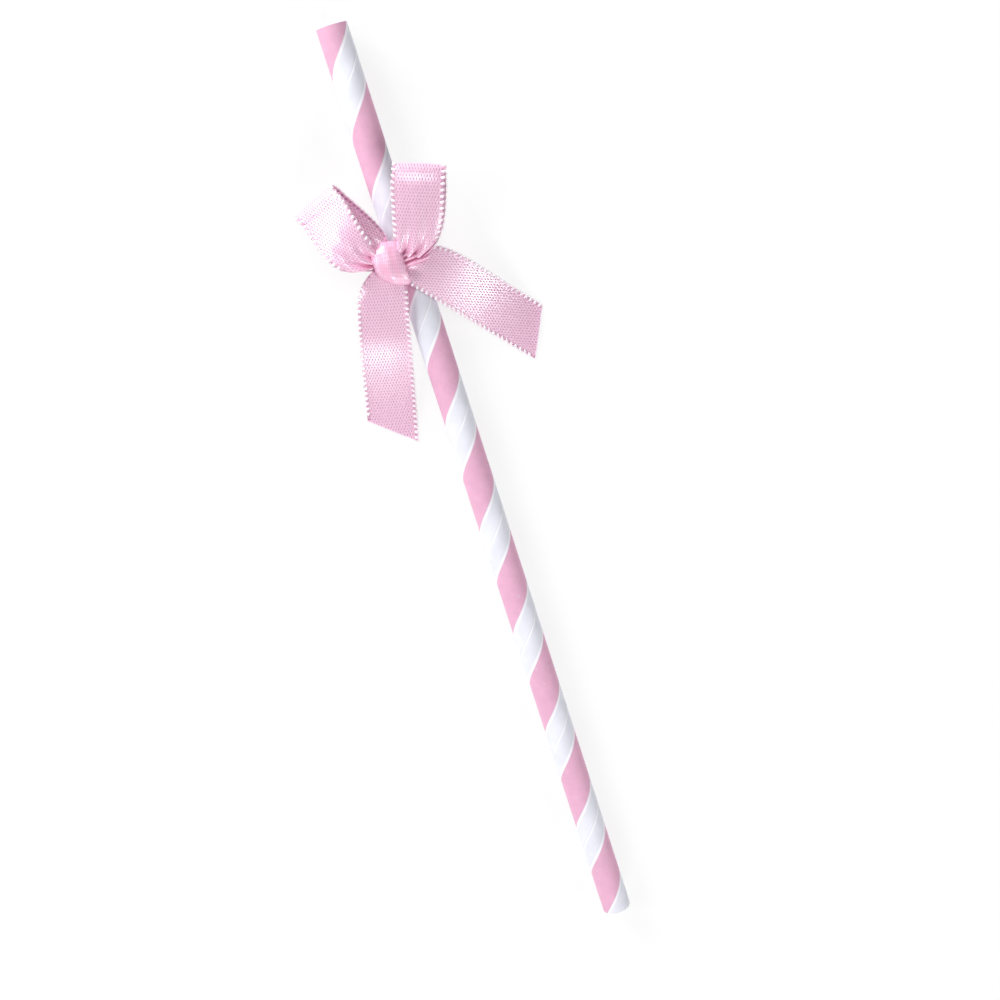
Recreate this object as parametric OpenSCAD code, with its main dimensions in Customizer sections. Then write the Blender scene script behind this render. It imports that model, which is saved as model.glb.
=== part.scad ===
// Paper drinking straw with a satin ribbon bow, lying on its side with the bow on top.
// The straw's axis is Y, its drinking end is at +Y, and the middle of its lower mouth is the origin.

/* [Straw] */
// Length of the straw
straw_length = 197; // [120:1:260]
// Outside diameter of the wound paper tube
straw_od = 6.2; // [5:0.1:9]
// Thickness of the wound paper wall
straw_wall = 0.45; // [0.3:0.05:0.8]
// Length along the straw of one full turn of the stripes
stripe_pitch = 23.6; // [18:0.1:36]
// Share of each turn that the pink stripe takes
stripe_share = 0.5; // [0.35:0.01:0.65]
// Turn of the stripes about the straw, in degrees
stripe_turn = 18; // [-180:1:180]

/* [Ribbon] */
// Width of the ribbon over its picot edges
ribbon_width = 10.8; // [8:0.1:14]
// Thickness of the ribbon
ribbon_thickness = 0.3; // [0.25:0.01:0.4]
// Width that the ribbon is pinched to inside the knot
pinch_width = 3; // [2.4:0.1:4.5]
// Width that the down tail is pinched to inside the knot
down_pinch_width = 5.5; // [4.5:0.1:7]
// Number of pleats that the pinch gathers the ribbon into
pleats = 3; // [2:1:4]
// Free play between the ribbon and the straw
ribbon_clearance = 0.05; // [0.03:0.01:0.2]

/* [Bow] */
// Distance from the drinking end to the middle of the knot
knot_from_top = 46; // [35:0.5:90]
// Distance of the knot's middle to the left of the straw's axis
knot_aside = 3.7; // [1.5:0.1:4.2]
// Height of the knot above the straw
knot_height = 4.6; // [3.6:0.1:6]
// Length of the knot along the ribbon that crosses it
knot_length = 6.2; // [5:0.1:8]
// Width of the crossing ribbon where it leaves the knot on the right
knot_wide_end = 7.8; // [6:0.1:9]
// Width of the crossing ribbon where it enters the knot on the left
knot_narrow_end = 4; // [3:0.1:5]
// Reach of the left loop from the knot's middle
left_loop_length = 18.9; // [14:0.1:24]
// Direction of the left loop, in degrees from straight right
left_loop_heading = 120; // [108:0.5:132]
// Roll of the left loop's fold about its heading, its left side down
left_loop_roll = 28; // [0:1:35]
// Slant of the left loop's fold, its left side further out
left_fold_slant = 9; // [0:1:15]
// Radius of the left loop's fold
left_fold_radius = 2.2; // [1:0.05:2.5]
// Reach of the top loop from the knot's middle
top_loop_length = 19.4; // [15:0.1:26]
// Direction of the top loop, in degrees from straight right
top_loop_heading = 70.5; // [60:0.5:82]
// Radius of the top loop's fold
top_fold_radius = 1.3; // [0.8:0.05:2]
// Length of the down tail from the knot's middle to the middle of its cut end
down_tail_length = 34.5; // [24:0.1:48]
// Direction of the down tail, in degrees from straight right
down_tail_heading = -104; // [-116:0.5:-98]
// Length of the right tail from the knot's middle to the middle of its cut end
right_tail_length = 33.6; // [24:0.1:46]
// Direction of the right tail, in degrees from straight right
right_tail_heading = -48.5; // [-58:0.5:-38]
// Slant of the down tail's cut end
down_cut_slant = 27; // [0:1:40]
// Slant of the right tail's cut end
right_cut_slant = 24; // [0:1:40]
// Width of the gathered ribbon that goes round the straw
wrap_width = 4.8; // [3.5:0.1:6.5]
// Thickness of the gathered ribbon that goes round the straw
wrap_thickness = 0.45; // [0.4:0.01:0.8]
// Rounding of the ribbon's gathered edges in the knot
knot_round = 0.8; // [0.5:0.05:1]

/* [Hidden] */

pink = "#f3b4d0";
paper_white = "#fbf9fa";
ribbon_pink = "#f6bcd9";

straw_radius = straw_od / 2;
floor_z = -straw_radius - ribbon_clearance - wrap_thickness;
knot_bottom = straw_radius + ribbon_clearance;
knot_top = knot_bottom + knot_height;
knot_middle = [-knot_aside, straw_length - knot_from_top, (knot_bottom + knot_top) / 2];

// Layers of the ribbon, as explained at layer_width
left_front = [left_loop_heading, 0.3, 4.9, -1, 2, 3.6, pinch_width, 0.8];
left_back = [left_loop_heading, -0.5, -1.4, 0, 1, 2, pinch_width, 0];
top_front = [top_loop_heading, 0.8, -0.6, 1, 0.4, 4, pinch_width, 0.8];
top_back = [top_loop_heading, 1.2, 0.1, 1, 0.4, 4, pinch_width, 0];
down_layer = [down_tail_heading, -3.3, -3.7, 1, 0, 3, down_pinch_width, 0.9];
right_layer = [right_tail_heading, 1.3, 1.9, -1, 1.5, 2.4, pinch_width, 0.9];

// A fold is [reach, radius, height from the knot's middle, bulge of the front above the knot, roll, shear]
left_fold = [left_loop_length, left_fold_radius, -1.9, 0.6, left_loop_roll, -tan(left_fold_slant)];
top_fold = [top_loop_length, top_fold_radius, 2.7, 0.2, 0, 0];
// Rise of a tail as it leaves the knot, and half the space between a loop's layers inside the knot
tail_rise = 0.6;
ply = 0.4;
// Share of the knot's chord at which the pleats have smoothed out
open_share = 0.4;
// The crossing ribbon's lean at its narrow and its wide end, and the flatness of its edges
knot_lean = [1.2, -0.4];
edge_share = 0.8;
// The bunch on the right of the knot, from its fat end in the knot to its thin end
bunch_radius = [1.3, 0.85];
bunch_end = [1.6, 0.45, -0.25];
// Play of a cutting solid past the straw's ends
end = 1;

// Facets of the stripes for each turn, and of the swept ribbon
stripe_facets = 14;
columns = 4 * pleats;
tail_stations = 18;
loop_stations = 13;
fold_stations = 5;
knot_steps = 12;

function unit(v) = v / norm(v);
function mix(a, b, t) = a + (b - a) * t;
function ease(t) = let (c = min(1, max(0, t))) c * c * (3 - 2 * c);
function bezier(p, t) =
    p[0] * pow(1 - t, 3) + 3 * p[1] * t * pow(1 - t, 2) + 3 * p[2] * t * t * (1 - t) + p[3] * pow(t, 3);
function bezier_slope(p, t) =
    unit((p[1] - p[0]) * pow(1 - t, 2) + 2 * (p[2] - p[1]) * t * (1 - t) + (p[3] - p[2]) * t * t);

// Width left to the ribbon at a distance from where it is pinched
function gathered_width(distance, gather, pinch) =
    ribbon_width - (ribbon_width - pinch) * exp(-max(0, distance) / gather);

// Depth of the pleats that take up the width which the gathering hides, and they smooth out as it opens
function pleat_depth(chord) =
    let (hidden = max(0, ribbon_width / chord - 1))
    chord / (PI * pleats) * sqrt(hidden) * min(1, hidden / open_share);

// A layer of ribbon leaves the knot with one selvedge, or its middle, on a smooth line. The layer is
// [heading, line at the knot, line at the far end, side of the line, tuck, gather, pinched width, crown].
function layer_width(layer, reach) = gathered_width(reach - layer[4], layer[5], layer[6]);
function layer_middle(layer, reach, length, roll) =
    mix(layer[1], layer[2], ease(reach / length)) + layer[3] * layer_width(layer, reach) / 2 * cos(roll);

// A station is [middle, direction across, direction along, width, crown, slanted step across].
// Its roll turns it about its heading, at the height of the pivot.
function station(layer, place, pivot, slope, aside, chord, crown, roll, shear) =
    let (
        heading = layer[0],
        level = [sin(heading), -cos(heading), 0],
        out = [cos(heading), sin(heading), 0],
        across = level * cos(roll) + [0, 0, sin(roll)],
        rise = [0, 0, cos(roll)] - level * sin(roll)
    )
    [
        knot_middle + out * place[0] + level * aside + [0, 0, pivot - knot_middle[2]]
            + rise * (place[1] - pivot),
        across,
        out * slope[0] + rise * slope[1],
        chord,
        crown,
        across + out * shear
    ];
function layer_station(layer, profile, t, fold, pivot, shear) =
    let (
        place = bezier(profile, t),
        reach = place[0],
        opened = ease(reach / fold[0]),
        roll = fold[4] * opened
    )
    station(
        layer, place, roll == 0 ? place[1] : mix(knot_middle[2], pivot, opened), bezier_slope(profile, t),
        layer_middle(layer, reach, fold[0], roll), layer_width(layer, reach),
        layer[7] * ease(reach / ribbon_width), roll, shear + fold[5] * pow(opened, 2)
    );

// No part of the ribbon lies lower than the surface under the straw
lying_z = floor_z + ribbon_thickness / 2;
function lifted(p) = [p[0], p[1], max(p[2], lying_z)];

function section(s) =
    let (
        up = cross(s[1], s[2]),
        depth = pleat_depth(s[3]),
        middle = [
            for (j = [0 : columns])
                let (side = 2 * j / columns - 1)
                s[0] + s[5] * side * s[3] / 2
                + up * (s[4] * (1 - side * side) + depth * cos(180 * pleats * side))
        ]
    )
    concat(
        [for (m = middle) lifted(m) + up * ribbon_thickness / 2],
        [for (j = [columns : -1 : 0]) lifted(middle[j]) - up * ribbon_thickness / 2]
    );

// Sweeps the ribbon through its sections
module strand(sections) {
    n = 2 * (columns + 1);
    last = len(sections) - 1;
    walls = [
        for (k = [0 : last - 1]) for (i = [0 : n - 1])
            let (a = k * n + i, b = k * n + (i + 1) % n)
            each [[a, b + n, b], [a, a + n, b + n]]
    ];
    ends = [
        for (j = [0 : columns - 1])
            let (k = last * n, far = n - 1 - j)
            each [
                [j, far - 1, far], [j, j + 1, far - 1],
                [k + j, k + far, k + far - 1], [k + j, k + far - 1, k + j + 1]
            ]
    ];
    polyhedron([for (s = sections) each s], concat(walls, ends), convexity = 6);
}

// A tail falls from the knot and lies flat at its cut end
module tail(layer, length, slant) {
    profile = [
        [0, knot_middle[2]],
        [0.3 * length, knot_middle[2] + tail_rise],
        [0.66 * length, lying_z],
        [length, lying_z]
    ];
    strand([
        for (i = [0 : tail_stations])
            let (t = i / tail_stations)
            section(layer_station(layer, profile, t, [length, 0, 0, 0, 0, 0], 0, tan(slant) * pow(t, 3)))
    ]);
}

// A loop runs out from the knot as its front layer, folds over, and comes back as its back layer
module loop(front, back, fold) {
    length = fold[0];
    radius = fold[1];
    fold_z = knot_middle[2] + fold[2];
    bulge = knot_top + fold[3];
    front_end = [length - radius, fold_z + radius];
    back_end = [length - radius, fold_z - radius];
    front_root = knot_middle[2] + ply;
    back_root = knot_middle[2] - ply;
    front_profile = [
        [knot_length / 3, front_root],
        [0.35 * length, bulge],
        [0.7 * length, mix(bulge, front_end[1], 0.75)],
        front_end
    ];
    back_profile = [
        back_end,
        [0.7 * length, back_end[1]],
        [0.35 * length, mix(back_end[1], back_root, 0.5)],
        [0, back_root]
    ];
    opened = ease(front_end[0] / length);
    roll = fold[4] * opened;
    shear = fold[5] * pow(opened, 2);
    first_aside = layer_middle(front, front_end[0], length, roll);
    last_aside = layer_middle(back, front_end[0], length, roll);
    last_front = layer_station(front, front_profile, 1, fold, fold_z, 0);
    first_back = layer_station(back, back_profile, 0, fold, fold_z, 0);
    steps = [for (i = [0 : loop_stations]) i / loop_stations];
    strand(concat(
        [for (t = steps) section(layer_station(front, front_profile, t, fold, fold_z, 0))],
        [
            for (i = [1 : fold_stations - 1])
                let (share = i / fold_stations, turn = 90 - 180 * share)
                section(station(
                    front,
                    [length - radius + radius * cos(turn), fold_z + radius * sin(turn)],
                    fold_z,
                    [sin(turn), -cos(turn)],
                    mix(first_aside, last_aside, share),
                    mix(last_front[3], first_back[3], share), mix(last_front[4], first_back[4], share),
                    roll, shear
                ))
        ],
        [for (t = steps) section(layer_station(back, back_profile, t, fold, fold_z, 0))]
    ));
}

// The ribbon that crosses the knot arches over it from its narrow end on the left to its wide end
module knot() {
    translate(knot_middle)
        for (i = [0 : knot_steps - 1])
            hull() {
                sphere(r = knot_round, $fn = 8);
                knot_rib(360 * i / knot_steps);
                knot_rib(360 * (i + 1) / knot_steps);
            }
}

module knot_rib(turn) {
    share = (1 + cos(turn)) / 2;
    half_width = mix(knot_narrow_end, knot_wide_end, share) / 2 - knot_round;
    lean = mix(knot_lean[0], knot_lean[1], share);
    for (side = [-1, 0, 1])
        translate([
            (knot_length / 2 - knot_round) * cos(turn),
            lean + side * half_width,
            (knot_height / 2 - knot_round) * sin(turn) * (side == 0 ? 1 : edge_share)
        ])
            sphere(r = knot_round, $fn = 8);
}

// The top loop and the right tail leave the knot side by side, bunched together
module bunch() {
    hull() {
        translate(knot_middle)
            sphere(r = bunch_radius[0], $fn = 12);
        translate(knot_middle + [knot_length, 0, 0] + bunch_end)
            sphere(r = bunch_radius[1], $fn = 12);
    }
}

// The gathered ribbon goes round the straw in pleats and closes up under the knot
module wrap() {
    pleat_width = wrap_width / pleats;
    outer = knot_bottom + wrap_thickness;
    for (i = [0 : pleats - 1])
        translate([0, knot_middle[1] + (i + 0.5) * pleat_width - wrap_width / 2, 0])
            hull() {
                rotate([90, 0, 0])
                    cylinder(h = pleat_width, r = outer - ribbon_thickness / 2, center = true, $fn = 48);
                rotate([90, 0, 0])
                    cylinder(h = pleat_width / 2, r = outer, center = true, $fn = 48);
                translate([knot_middle[0], 0, knot_middle[2] - knot_height / 4])
                    sphere(r = pleat_width / 2, $fn = 8);
            }
}

module straw_space(extra) {
    translate([0, -end, 0])
        rotate([-90, 0, 0])
            cylinder(h = straw_length + 2 * end, r = straw_radius + extra, $fn = 96);
}

module ribbon_bow() {
    color(ribbon_pink)
        difference() {
            union() {
                loop(left_front, left_back, left_fold);
                loop(top_front, top_back, top_fold);
                tail(down_layer, down_tail_length, -down_cut_slant);
                tail(right_layer, right_tail_length, right_cut_slant);
                knot();
                bunch();
                wrap();
            }
            straw_space(ribbon_clearance);
        }
}

// The wound tube, and the half turn of it that each stripe takes
module tube() {
    translate([0, straw_length, 0])
        rotate([90, 0, 0])
            difference() {
                cylinder(h = straw_length, r = straw_radius, $fn = 96);
                translate([0, 0, -end])
                    cylinder(h = straw_length + 2 * end, r = straw_radius - straw_wall, $fn = 96);
            }
}

module stripe() {
    h = straw_length + 2 * end;
    sweep = 360 * stripe_share;
    start = stripe_turn - 360 * end / stripe_pitch;
    translate([0, straw_length + end, 0])
        rotate([90, 0, 0])
            rotate([0, 0, start])
                linear_extrude(
                    height = h, twist = -360 * h / stripe_pitch,
                    slices = ceil(h / stripe_pitch * stripe_facets), segments = 4
                )
                    polygon(concat(
                        [[0, 0]],
                        [for (a = [0 : sweep / 4 : sweep]) straw_od * [cos(a), sin(a)]]
                    ));
}

module straw_tube() {
    color(pink)
        intersection() {
            tube();
            stripe();
        }
    color(paper_white)
        difference() {
            tube();
            stripe();
        }
}

straw_tube();
ribbon_bow();
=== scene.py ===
"""Looks of a paper drinking straw and its satin ribbon bow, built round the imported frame.

The straw's axis is Y, its drinking end is at +Y, and the middle of its lower mouth is the
origin. Blender's lengths are metres. The classes hold their sizes in millimetres, as a maker
would write them, and MM turns them into metres where a mesh is made. UV_UNIT is the
millimetres of ribbon for one unit of its UV map.
"""
import logging
import math
from contextlib import contextmanager
from dataclasses import dataclass
from enum import Enum
from typing import Iterator, Sequence, Union

import bpy
import numpy as np
from mathutils import Matrix, Vector


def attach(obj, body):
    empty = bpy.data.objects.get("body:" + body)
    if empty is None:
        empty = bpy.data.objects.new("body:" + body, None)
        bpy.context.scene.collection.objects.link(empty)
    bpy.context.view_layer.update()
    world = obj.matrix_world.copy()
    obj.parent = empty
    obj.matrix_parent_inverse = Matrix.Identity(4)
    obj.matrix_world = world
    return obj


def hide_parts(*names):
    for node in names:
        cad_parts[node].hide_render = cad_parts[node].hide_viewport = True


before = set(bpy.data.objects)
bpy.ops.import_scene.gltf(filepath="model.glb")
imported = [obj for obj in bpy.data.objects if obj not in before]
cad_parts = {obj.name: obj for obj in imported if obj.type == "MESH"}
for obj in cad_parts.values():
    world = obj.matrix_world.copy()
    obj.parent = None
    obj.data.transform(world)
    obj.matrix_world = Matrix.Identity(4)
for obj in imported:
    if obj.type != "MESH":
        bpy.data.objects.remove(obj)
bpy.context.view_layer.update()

MM = 0.001
UV_UNIT = 10.0
ROOT = "root"
log = logging.getLogger("straw")

Value = Union[float, tuple, "Signal"]
Piece = bpy.types.Object
Point = np.ndarray


class Side(Enum):
    """Which side of its guiding line a layer of ribbon lies on."""

    LEFT = -1
    MIDDLE = 0
    RIGHT = 1


# Shader maths


class Shader:
    """A material's node tree, with one method that makes any node."""

    def __init__(self, name: str) -> None:
        """Starts an empty material.

        Args:
            name: The material's name.
        """
        self.material = bpy.data.materials.new(name)
        self.material.use_nodes = True
        self.tree = self.material.node_tree
        self.tree.nodes.clear()

    def node(self, kind: str, settings: dict | None = None, **values: Value) -> bpy.types.Node:
        """Makes one node, sets it up and feeds its sockets.

        Args:
            kind: The node's type, such as ShaderNodeMath.
            settings: The node's own properties, set before its sockets.
            values: Numbers, colours or signals by socket name, with spaces as underscores,
                or in0, in1 and so on for a socket by its place.

        Returns:
            The new node.
        """
        made = self.tree.nodes.new(kind)
        for key, setting in (settings or {}).items():
            setattr(made, key, setting)
        for key, value in values.items():
            place = key[2:]
            socket = made.inputs[int(place)] if place.isdigit() else made.inputs[key.replace("_", " ")]
            if isinstance(value, Signal):
                self.tree.links.new(value.socket, socket)
            else:
                socket.default_value = value
        return made

    def signal(self, kind: str, settings: dict | None = None, output: str | int = 0,
               **values: Value) -> "Signal":
        """Makes one node, as node does, and wraps the output with this name or place."""
        return Signal(self, self.node(kind, settings, **values).outputs[output])

    def noise(self, place: "Signal", scale: float, detail: float = 3.0, rough: float = 0.5) -> "Signal":
        """Smooth noise from 0 to 1 at a place, with scale in waves for each metre."""
        return self.signal(
            "ShaderNodeTexNoise", {"noise_dimensions": "3D"}, "Fac",
            Vector=place, Scale=scale, Detail=detail, Roughness=rough,
        )

    def axes(self, place: "Signal") -> list["Signal"]:
        """The three parts of a place."""
        parts = self.node("ShaderNodeSeparateXYZ", None, Vector=place)
        return [Signal(self, output) for output in parts.outputs]

    def blend(self, share: Value, low: Value, high: Value) -> "Signal":
        """Mixes two colours by a share from 0 to 1."""
        low, high = ((*tone, 1.0) if isinstance(tone, tuple) else tone for tone in (low, high))
        return self.signal(
            "ShaderNodeMix", {"data_type": "RGBA", "clamp_factor": True}, 2,
            in0=share, in6=low, in7=high,
        )

    def lay(self, tone: Value, *coats: tuple[Value, Value]) -> Value:
        """Lays coats over a colour, one after the other.

        Args:
            tone: The colour.
            coats: Each coat's share, from 0 to 1, and its colour.

        Returns:
            The coated colour.
        """
        for share, coat in coats:
            tone = self.blend(share, tone, coat)
        return tone

    def bump(self, height: "Signal", depth: float) -> "Signal":
        """A normal bent by a height from 0 to 1 that stands for depth metres."""
        return self.signal("ShaderNodeBump", Strength=1.0, Distance=depth, Height=height)

    def finish(self, **values: Value) -> bpy.types.Material:
        """Adds the surface shader and the output.

        Args:
            values: What feeds the Principled shader's sockets.

        Returns:
            The finished material.
        """
        surface = self.signal("ShaderNodeBsdfPrincipled", None, 0, **values)
        self.node("ShaderNodeOutputMaterial", None, Surface=surface)
        return self.material


class Signal:
    """One output socket that can stand in a Python expression."""

    def __init__(self, shader: Shader, socket: bpy.types.NodeSocket) -> None:
        """Wraps an output socket of a shader."""
        self.shader = shader
        self.socket = socket

    def math(self, operation: str, *others: Value) -> "Signal":
        """Feeds this signal and others to a Math node with this operation."""
        return self.shader.signal(
            "ShaderNodeMath", {"operation": operation},
            **{f"in{i}": value for i, value in enumerate((self, *others))},
        )

    def __add__(self, other: Value) -> "Signal":
        """Sum."""
        return self.math("ADD", other)

    __radd__ = __add__

    def __mul__(self, other: Value) -> "Signal":
        """Product."""
        return self.math("MULTIPLY", other)

    __rmul__ = __mul__

    def __sub__(self, other: Value) -> "Signal":
        """Difference."""
        return self.math("SUBTRACT", other)

    def __rsub__(self, other: Value) -> "Signal":
        """Difference from a number."""
        return (self * -1.0) + other

    def __truediv__(self, other: Value) -> "Signal":
        """Quotient."""
        return self.math("DIVIDE", other)

    def __abs__(self) -> "Signal":
        """Distance from zero."""
        return self.math("ABSOLUTE")

    def fraction(self) -> "Signal":
        """What is left above the whole number below."""
        return self.math("FRACT")

    def wave(self) -> "Signal":
        """Cosine of a whole turn, from 0 to 1, for each unit."""
        return (self * math.tau).math("COSINE") * 0.5 + 0.5

    def ramp(self, start: float, end: float) -> "Signal":
        """Rises smoothly from 0 at start to 1 at end, and falls if end is the lower."""
        rising = start < end
        return self.shader.signal(
            "ShaderNodeMapRange", {"interpolation_type": "SMOOTHSTEP"},
            Value=self, From_Min=min(start, end), From_Max=max(start, end),
            To_Min=0.0 if rising else 1.0, To_Max=1.0 if rising else 0.0,
        )

    def band(self, start: float, end: float, blur: float) -> "Signal":
        """Is 1 between start and end, and fades to 0 inside them over blur."""
        return self.ramp(start, start + blur) * self.ramp(end, end - blur)


# Finishes


@dataclass(frozen=True)
class StripedPaper:
    """Wound paper with a helical stripe, uncoated at its cut ends and inside.

    The stripe's share, the rims along its borders, the seam's painted highlight and the painted shadow
    beside it are shares of one turn. ply is a ply's thickness, and print_depth where the print ends and
    the core begins.
    """

    pitch: float
    turn: float
    length: float
    radius: float
    pink: tuple = (0.68, 0.36, 0.51)
    white: tuple = (0.70, 0.71, 0.78)
    rim: tuple = (0.93, 0.89, 0.93)
    seam_highlight: tuple = (0.95, 0.95, 0.97)
    shadow: tuple = (0.62, 0.60, 0.68)
    fibre: tuple = (0.70, 0.62, 0.70)
    core: tuple = (0.78, 0.76, 0.75)
    core_shade: tuple = (0.52, 0.49, 0.50)
    pink_share: float = 0.5
    border_blur: float = 0.006
    rim_width: float = 0.045
    rim_blur: float = 0.015
    seam_place: float = 0.75
    seam_width: float = 0.016
    shadow_hold: float = 0.004
    shadow_end: float = 0.80
    ply: float = 0.15
    print_depth: tuple = (0.07, 0.11)

    def material(self) -> bpy.types.Material:
        """The paper's material.

        Returns:
            A material on Object coordinates.
        """
        s = Shader("striped_paper")
        place = s.signal("ShaderNodeTexCoord", None, "Object")
        x, y, z = s.axes(place)
        turned = z.math("ARCTAN2", x) / math.tau
        along = (self.length * MM - y) / (self.pitch * MM)
        stripe = (turned - along - self.turn / 360.0).fraction()
        blur = self.border_blur
        pink = stripe.band(-blur, self.pink_share + blur, 2 * blur)
        rims = (
            stripe.band(self.pink_share, self.pink_share + self.rim_width, self.rim_blur)
            + stripe.band(1.0 - self.rim_width, 1.0, self.rim_blur)
        )
        # Painted light: a light line along the seam is a painted highlight on the strip's lip, and a
        # darker line beside it is painted shadow.
        seam_end = self.seam_place + self.seam_width / 2
        seam_highlight = stripe.band(self.seam_place - self.seam_width / 2, seam_end, blur)
        shadow = (
            stripe.ramp(seam_end - blur, seam_end)
            * stripe.ramp(self.shadow_end, seam_end + self.shadow_hold)
        )

        fibre = s.noise(place, 2600.0, 4.0, 0.65)
        cloud = s.noise(place, 420.0, 3.0, 0.55)
        clouded = cloud.ramp(0.3, 0.7)
        specks = s.noise(place, 1500.0, 2.0, 0.5).ramp(0.66, 0.74)
        white_tone = s.blend(clouded, self.white, self.scaled(self.white, 1.05))
        pink_tone = s.lay(
            self.pink, (clouded, self.scaled(self.pink, 1.07)),
            (specks * 0.30, self.scaled(self.white, 0.97)),
        )
        # The seam's light line and the shadow beside it are painted highlight and painted shade, laid
        # over the print.
        printed = s.lay(
            white_tone, (pink, pink_tone), (rims * 0.7, self.rim), (seam_highlight * 0.8, self.seam_highlight),
            (shadow * 0.2, self.shadow), (fibre.ramp(0.35, 0.75) * 0.10, self.fibre),
        )

        reach = (x * x + z * z).math("SQRT") / MM
        plies = ((self.radius - reach) / self.ply).wave()
        core = s.blend(plies * 0.25 + fibre * 0.15, self.core, self.core_shade)
        print_end, core_start = (self.radius - depth for depth in self.print_depth)
        tone = s.blend(reach.ramp(print_end, core_start), printed, core)
        height = fibre * 0.6 + cloud * 0.4 + seam_highlight * 0.3
        return s.finish(
            Base_Color=tone, Roughness=cloud * 0.10 + 0.58, Normal=s.bump(height, 0.00004),
            Specular_IOR_Level=0.35,
        )

    @staticmethod
    def scaled(tone: tuple, share: float) -> tuple:
        """A colour made lighter or darker."""
        return tuple(min(1.0, c * share) for c in tone)


@dataclass(frozen=True)
class SatinWeave:
    """Single-faced satin ribbon, on its UV map across and along and on its attributes.

    The weave's dots repeat each dot_pitch across and row_pitch along. border is the width of
    the plain border, border_blur the width over which it fades, and gap_fade the
    distances from the selvedge between which the darker pink of the painted shade under the
    picots sets in.
    """

    width: float
    stitch_pitch: float
    dot_pitch: float = 0.58
    row_pitch: float = 1.24
    light: tuple = (0.90, 0.54, 0.73)
    pale: tuple = (0.95, 0.62, 0.80)
    dark: tuple = (0.42, 0.15, 0.29)
    painted_crease_glow: tuple = (0.93, 0.22, 0.46)
    gap: tuple = (0.66, 0.30, 0.48)
    cut: tuple = (0.96, 0.80, 0.90)
    border: float = 0.85
    border_blur: float = 0.2
    gap_fade: tuple = (0.72, 0.55)
    thread_scale: tuple = (2.4, 0.16)

    def material(self) -> bpy.types.Material:
        """The ribbon's material.

        Returns:
            A material on the piece's own UV map and attributes.
        """
        s = Shader("satin_weave")
        place = s.signal("ShaderNodeUVMap", {"uv_map": "ribbon"})
        across, along = (part * UV_UNIT for part in s.axes(place)[:2])
        crowd, cut = (
            s.signal("ShaderNodeAttribute", {"attribute_name": name}, "Fac")
            for name in ("crowd", "cut")
        )

        u = across / self.dot_pitch
        v = along / self.row_pitch
        dots = ((u + v).wave() * (u - v).wave()).ramp(0.10, 0.75)
        scale_across, scale_along = self.thread_scale
        threads = s.signal(
            "ShaderNodeCombineXYZ", None, X=across * scale_across, Y=along * scale_along,
        )
        streak = s.noise(threads, 1.0, 2.0, 0.5).ramp(0.3, 0.7)

        inside = self.width / 2 - abs(across)
        open_weave = dots * (1.0 - inside.ramp(self.border, self.border - self.border_blur))
        # Painted shade: a darker pink band along each selvedge under the picots. The stitch holes lie
        # in this band too.
        gap = inside.ramp(*self.gap_fade) * (1.0 - cut)
        hole = (along / self.stitch_pitch).wave().ramp(0.4, 0.85) * inside.ramp(0.05, 0.15) * gap

        # Painted light: where the crowd attribute marks deep gathers, a deep pink glow stands in for
        # light bounced between the ribbon's layers.
        tone = s.lay(
            self.light, (streak * 0.6, self.pale),
            (open_weave * (0.85 - crowd * 0.75), self.dark), (gap * 0.6, self.gap),
            (crowd * 0.62, self.painted_crease_glow), (hole * (0.85 - crowd * 0.7), self.dark),
            (cut.ramp(0.2, 0.6) * 0.8, self.cut),
        )
        height = (1.0 - open_weave) * 0.6 + streak * 0.4 - hole * 0.8
        return s.finish(
            Base_Color=tone, Roughness=open_weave * 0.4 + crowd * 0.1 + 0.30,
            Normal=s.bump(height, 0.00005),
            Specular_IOR_Level=1.0, IOR=1.9,
        )


@dataclass(frozen=True)
class PicotThread:
    """Glossy stitches along the ribbon's selvedges."""

    tone: tuple = (0.97, 0.89, 0.94)
    shade: tuple = (0.84, 0.55, 0.72)

    def material(self) -> bpy.types.Material:
        """The stitches' material.

        Returns:
            A material on Object coordinates.
        """
        s = Shader("picot_thread")
        place = s.signal("ShaderNodeTexCoord", None, "Object")
        fibre = s.noise(place, 3800.0, 2.0, 0.5)
        tone = s.blend(fibre.ramp(0.4, 0.7) * 0.4, self.tone, self.shade)
        return s.finish(
            Base_Color=tone, Roughness=fibre * 0.1 + 0.30, Normal=s.bump(fibre, 0.00003),
            Specular_IOR_Level=1.0, IOR=1.55,
        )


# Mesh helpers


def deselect() -> None:
    """Leaves edit mode and deselects every object."""
    if bpy.context.object and bpy.context.object.mode != "OBJECT":
        bpy.ops.object.mode_set(mode="OBJECT")
    bpy.ops.object.select_all(action="DESELECT")


def select(*pieces: Piece) -> None:
    """Selects pieces and no others, and makes the first one active.

    Args:
        pieces: The pieces.
    """
    deselect()
    for piece in pieces:
        piece.select_set(True)
    bpy.context.view_layer.objects.active = pieces[0]


@contextmanager
def editing(piece: Piece) -> Iterator[None]:
    """Holds a piece in edit mode, with its whole mesh selected at the start.

    Args:
        piece: The piece.

    Yields:
        Once, while the piece is in edit mode.
    """
    select(piece)
    bpy.ops.object.mode_set(mode="EDIT")
    bpy.ops.mesh.select_all(action="SELECT")
    yield
    bpy.ops.object.mode_set(mode="OBJECT")


def apply_modifier(piece: Piece, kind: str, **settings: object) -> None:
    """Adds a modifier and applies it.

    Args:
        piece: The piece.
        kind: The modifier's type.
        settings: The modifier's properties.
    """
    select(piece)
    made = piece.modifiers.new(kind.lower(), kind)
    for key, setting in settings.items():
        setattr(made, key, setting)
    bpy.ops.object.modifier_apply(modifier=made.name)


def smooth(piece: Piece, degrees: float) -> None:
    """Shades a piece smooth, with edges sharper than an angle in degrees kept."""
    select(piece)
    bpy.ops.object.shade_smooth_by_angle(angle=math.radians(degrees))


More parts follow.
